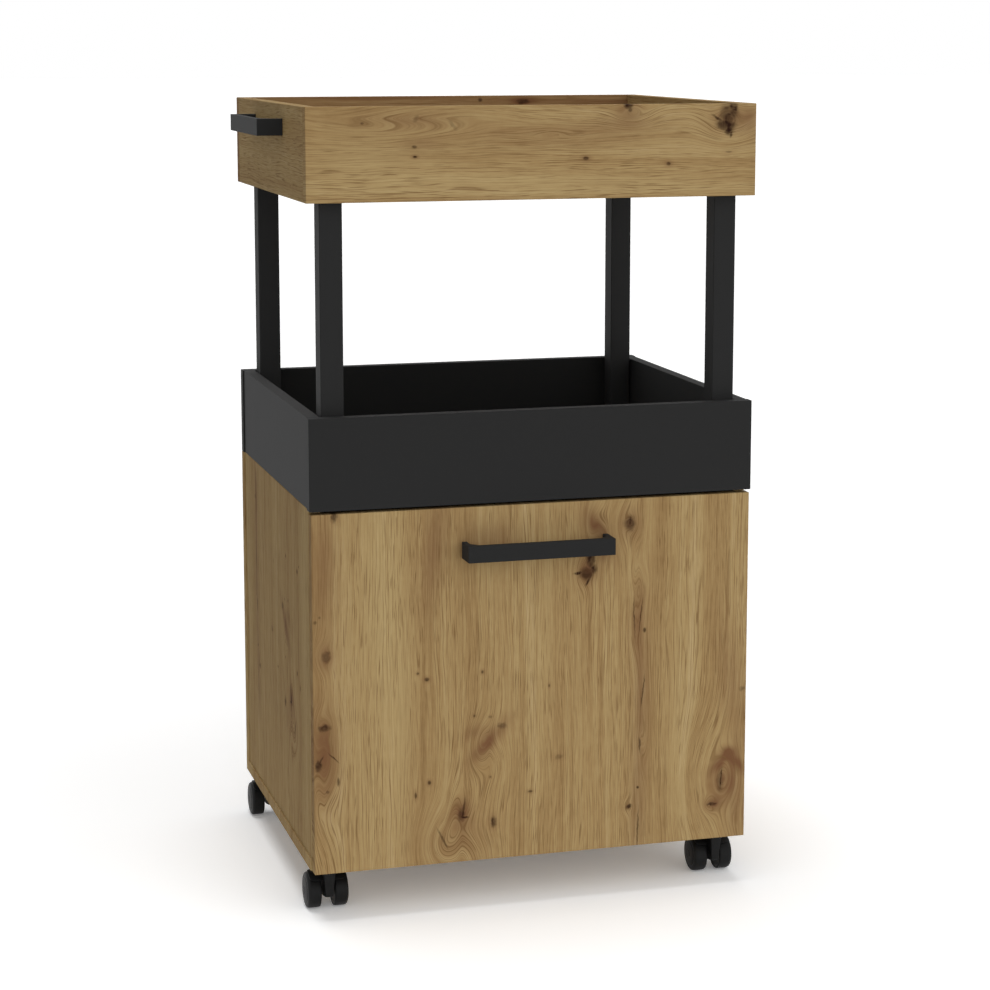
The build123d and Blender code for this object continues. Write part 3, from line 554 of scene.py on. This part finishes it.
def hoodShell(axle):
    # A curved cover: a flat rounded section (an oval of a high power) carried along an arc round the
    # axle, its size falling to nothing at both ends as the sixth root of 1 - along^6.
    along = -np.cos(np.linspace(0, np.pi, castor["hoodSteps"])[1:-1])[:, None]
    size = (1 - along ** castor["hoodPower"]) ** (1 / castor["hoodPower"])
    turn = np.linspace(0, 2 * np.pi, castor["hoodPoints"], endpoint=False)
    c, s = np.cos(turn), np.sin(turn)
    across = castor["hoodWide"] / 2 * np.sign(c) * abs(c) ** castor["hoodCorner"] * size
    inwards = castor["hoodThick"] / 2 * (1 - np.sign(s) * abs(s) ** castor["hoodCorner"] * size)
    reach = castor["hoodReach"] - inwards
    low, high = math.radians(castor["hoodFrom"]), math.radians(castor["hoodTo"])
    arc = (low + high) / 2 + (high - low) / 2 * along
    return shell(np.stack([across, reach * np.cos(arc), reach * np.sin(arc)], -1) + axle)


def finShell(axle):
    # The web between the wheels: its side outline, drawn in by the edge's rounding (a quarter circle on
    # each side) and set across from one side to the other, thinner towards the floor.
    outline = soften(castor["fin"], True)
    middle, edge, half = outline.mean(0), castor["finEdge"], castor["finThick"] / 2
    lean = np.linspace(0.5, -0.5, castor["finSteps"]) * np.pi
    across = np.sign(lean) * (half - edge) + edge * np.sin(lean)
    inset = 1 - edge * (1 - np.cos(lean)) / np.ptp(outline[:, 1]) * 2
    loops = middle + (outline - middle) * inset[:, None, None]
    share, low, high = castor["finTaper"]
    thick = share + (1 - share) * np.clip((loops[..., 1] - low) / (high - low), 0, 1)
    return shell(np.stack([across[:, None] * thick, -loops[..., 0], loops[..., 1]], -1) + axle)


def newPiece(name, shells, finish, body, stands):
    # one mesh of several skins, from mm to metres, smooth but for its creases, in place of a CAD node
    mesh = bpy.data.meshes.new(name)
    points = np.vstack([part[0] for part in shells]) / perMetre
    faces, start = [], 0
    for skin, quads, fans in shells:
        faces += (quads + start).tolist() + (fans + start).tolist()
        start += len(skin)
    mesh.from_pydata(points.tolist(), [], faces)
    mesh.shade_smooth()
    mesh.set_sharp_from_angle(angle=math.radians(castor["crease"]))
    mesh.materials.append(finish)
    piece = bpy.data.objects.new(name, mesh)
    bpy.context.scene.collection.objects.link(piece)
    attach(piece, body)
    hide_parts(stands)


for name in castorNames:
    end, side = name.split("_")
    low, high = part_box(name + "_castor_wheels")
    axle = (np.array(low) + np.array(high)) / 2 * perMetre
    head = turned(soften(castor["head"], False), axle + (0, -castor["pin"], 0), castor["sides"], True)
    newPiece(end + side.title() + "CastorFrame", [hoodShell(axle), finShell(axle), head],
             finishes["blackNylon"], name + "_castor", name + "_castor_frame")
    profile = soften(castor["wheel"], False)
    wheels = [turned(profile * (1, way), axle, castor["sides"], False) for way in (-1, 1)]
    newPiece(end + side.title() + "CastorWheels", wheels,
             finishes["blackNylon"], name + "_wheel_pair", name + "_castor_wheels")
print("castors made:", len(castorNames))

# Floor, lights and camera: lengths in metres, angles in degrees
studio = {
    "floorReach": 60.0,
    "floorShown": 1.12,  # the floor's colour as it is seen, so that the sun makes it white
    "floorGlow": 0.12,  # and its own light, so that the shadow stays soft
    "floorPaper": "#FFFFFF",  # the floor's colour as it lights the piece
    "floorCard": "#A8A8A8",  # a grey card on it, left of the cabinet
    "cardEdge": (-0.3, -0.9),  # x where the card begins and where it is fully grey
    "skyGlows": ((0.0, 0.0, 1.35), (60.0, 0.0, 0.6), (180.0, 0.0, 0.35)),  # turn to the right, rise, level
    "sunLevel": 0.42,
    "sunAngle": 30.0,
    "sunTilt": (-4.0, -5.0),
}


def seenRays(tree):
    # 1 for the rays that show a thing: straight from the camera, or by a reflection or glass
    rays = addNode(tree, "ShaderNodeLightPath").node.outputs
    seen = addNode(tree, "ShaderNodeMath", [rays["Is Camera Ray"], rays["Is Glossy Ray"]],
                   operation="MAXIMUM")
    return addNode(tree, "ShaderNodeMath", [seen, rays["Is Transmission Ray"]], operation="MAXIMUM")


def studioFloor():
    # a flat sheet at the castors' feet. Seen, it is white with the soft shadow, and its other colour
    # throws light up at the piece
    reach = studio["floorReach"]
    corners = [(-reach, -reach, 0), (reach, -reach, 0), (reach, reach, 0), (-reach, reach, 0)]
    mesh = bpy.data.meshes.new("studioFloor")
    mesh.from_pydata(corners, [], [(0, 1, 2, 3)])
    floor = bpy.data.objects.new("studioFloor", mesh)
    bpy.context.scene.collection.objects.link(floor)
    paint, tree = newMaterial("whitePaperFloor")
    glow = addNode(tree, "ShaderNodeEmission", {"Strength": studio["floorGlow"]})
    white = addNode(tree, "ShaderNodeBsdfDiffuse", {"Color": (studio["floorShown"],) * 3 + (1,)})
    shown = addNode(tree, "ShaderNodeAddShader", [glow, white])
    place = addNode(tree, "ShaderNodeTexCoord", out="Object")
    aside = addNode(tree, "ShaderNodeSeparateXYZ", [place], out="X")
    card = addNode(tree, "ShaderNodeMapRange", [aside, *studio["cardEdge"]])
    paper = addNode(tree, "ShaderNodeMix",
                    {0: card, 6: toLinear(studio["floorPaper"]), 7: toLinear(studio["floorCard"])},
                    out=2, data_type="RGBA")
    lit = addNode(tree, "ShaderNodeBsdfDiffuse", {"Color": paper})
    both = addNode(tree, "ShaderNodeMixShader", [seenRays(tree), lit, shown])
    addNode(tree, "ShaderNodeOutputMaterial", {"Surface": both})
    mesh.materials.append(paint)


def studioSky():
    # white where it is seen. Its light is the sum of soft glows, each its level times the cosine of
    # the angle to its aim, and comes mostly from the front
    world = bpy.data.worlds.new("whiteStudio")
    bpy.context.scene.world = world
    world.use_nodes = True
    tree = world.node_tree
    tree.nodes.clear()
    toSky = addNode(tree, "ShaderNodeTexCoord", out="Generated")
    level = 0.0
    for turn, rise, glow in studio["skyGlows"]:
        turn, rise = math.radians(turn), math.radians(rise)
        aim = (math.sin(turn) * math.cos(rise), -math.cos(turn) * math.cos(rise), math.sin(rise))
        ahead = addNode(tree, "ShaderNodeVectorMath", [toSky, aim], out="Value", operation="DOT_PRODUCT")
        ahead = addNode(tree, "ShaderNodeMath", [ahead, 0.0], operation="MAXIMUM")
        level = addNode(tree, "ShaderNodeMath", [ahead, glow, level], operation="MULTIPLY_ADD")
    glows = addNode(tree, "ShaderNodeBackground", {"Color": (1, 1, 1, 1), "Strength": level})
    white = addNode(tree, "ShaderNodeBackground", {"Color": (1, 1, 1, 1), "Strength": 1.0})
    both = addNode(tree, "ShaderNodeMixShader", [seenRays(tree), glows, white])
    addNode(tree, "ShaderNodeOutputWorld", {"Surface": both})


studioFloor()
studioSky()
sun = bpy.data.lights.new("topSoftLight", "SUN")
sun.angle = math.radians(studio["sunAngle"])
sun.energy = studio["sunLevel"] * math.pi  # a sun of pi lights a face to its own colour
holder = bpy.data.objects.new("topSoftLight", sun)
holder.rotation_euler = [math.radians(t) for t in (*studio["sunTilt"], 0.0)]
bpy.context.scene.collection.objects.link(holder)

lens = {
    "focal": 89.51,  # mm, on a sensor this wide
    "sensor": 36.0,
    "shift": (0.0, -0.09),
    "place": (-0.9103, -3.2647, 1.1482),
    "down": 8.606,
    "right": 15.817,
}
eye = bpy.data.cameras.new("studioCamera")
eye.lens = lens["focal"]
eye.sensor_width = lens["sensor"]
eye.shift_x, eye.shift_y = lens["shift"]
camera = bpy.data.objects.new("studioCamera", eye)
camera.location = lens["place"]
camera.rotation_euler = (math.radians(90 - lens["down"]), 0, -math.radians(lens["right"]))
bpy.context.scene.collection.objects.link(camera)
bpy.context.scene.camera = camera
bpy.context.scene.view_settings.view_transform = "Standard"
print("floor, lights and camera set")
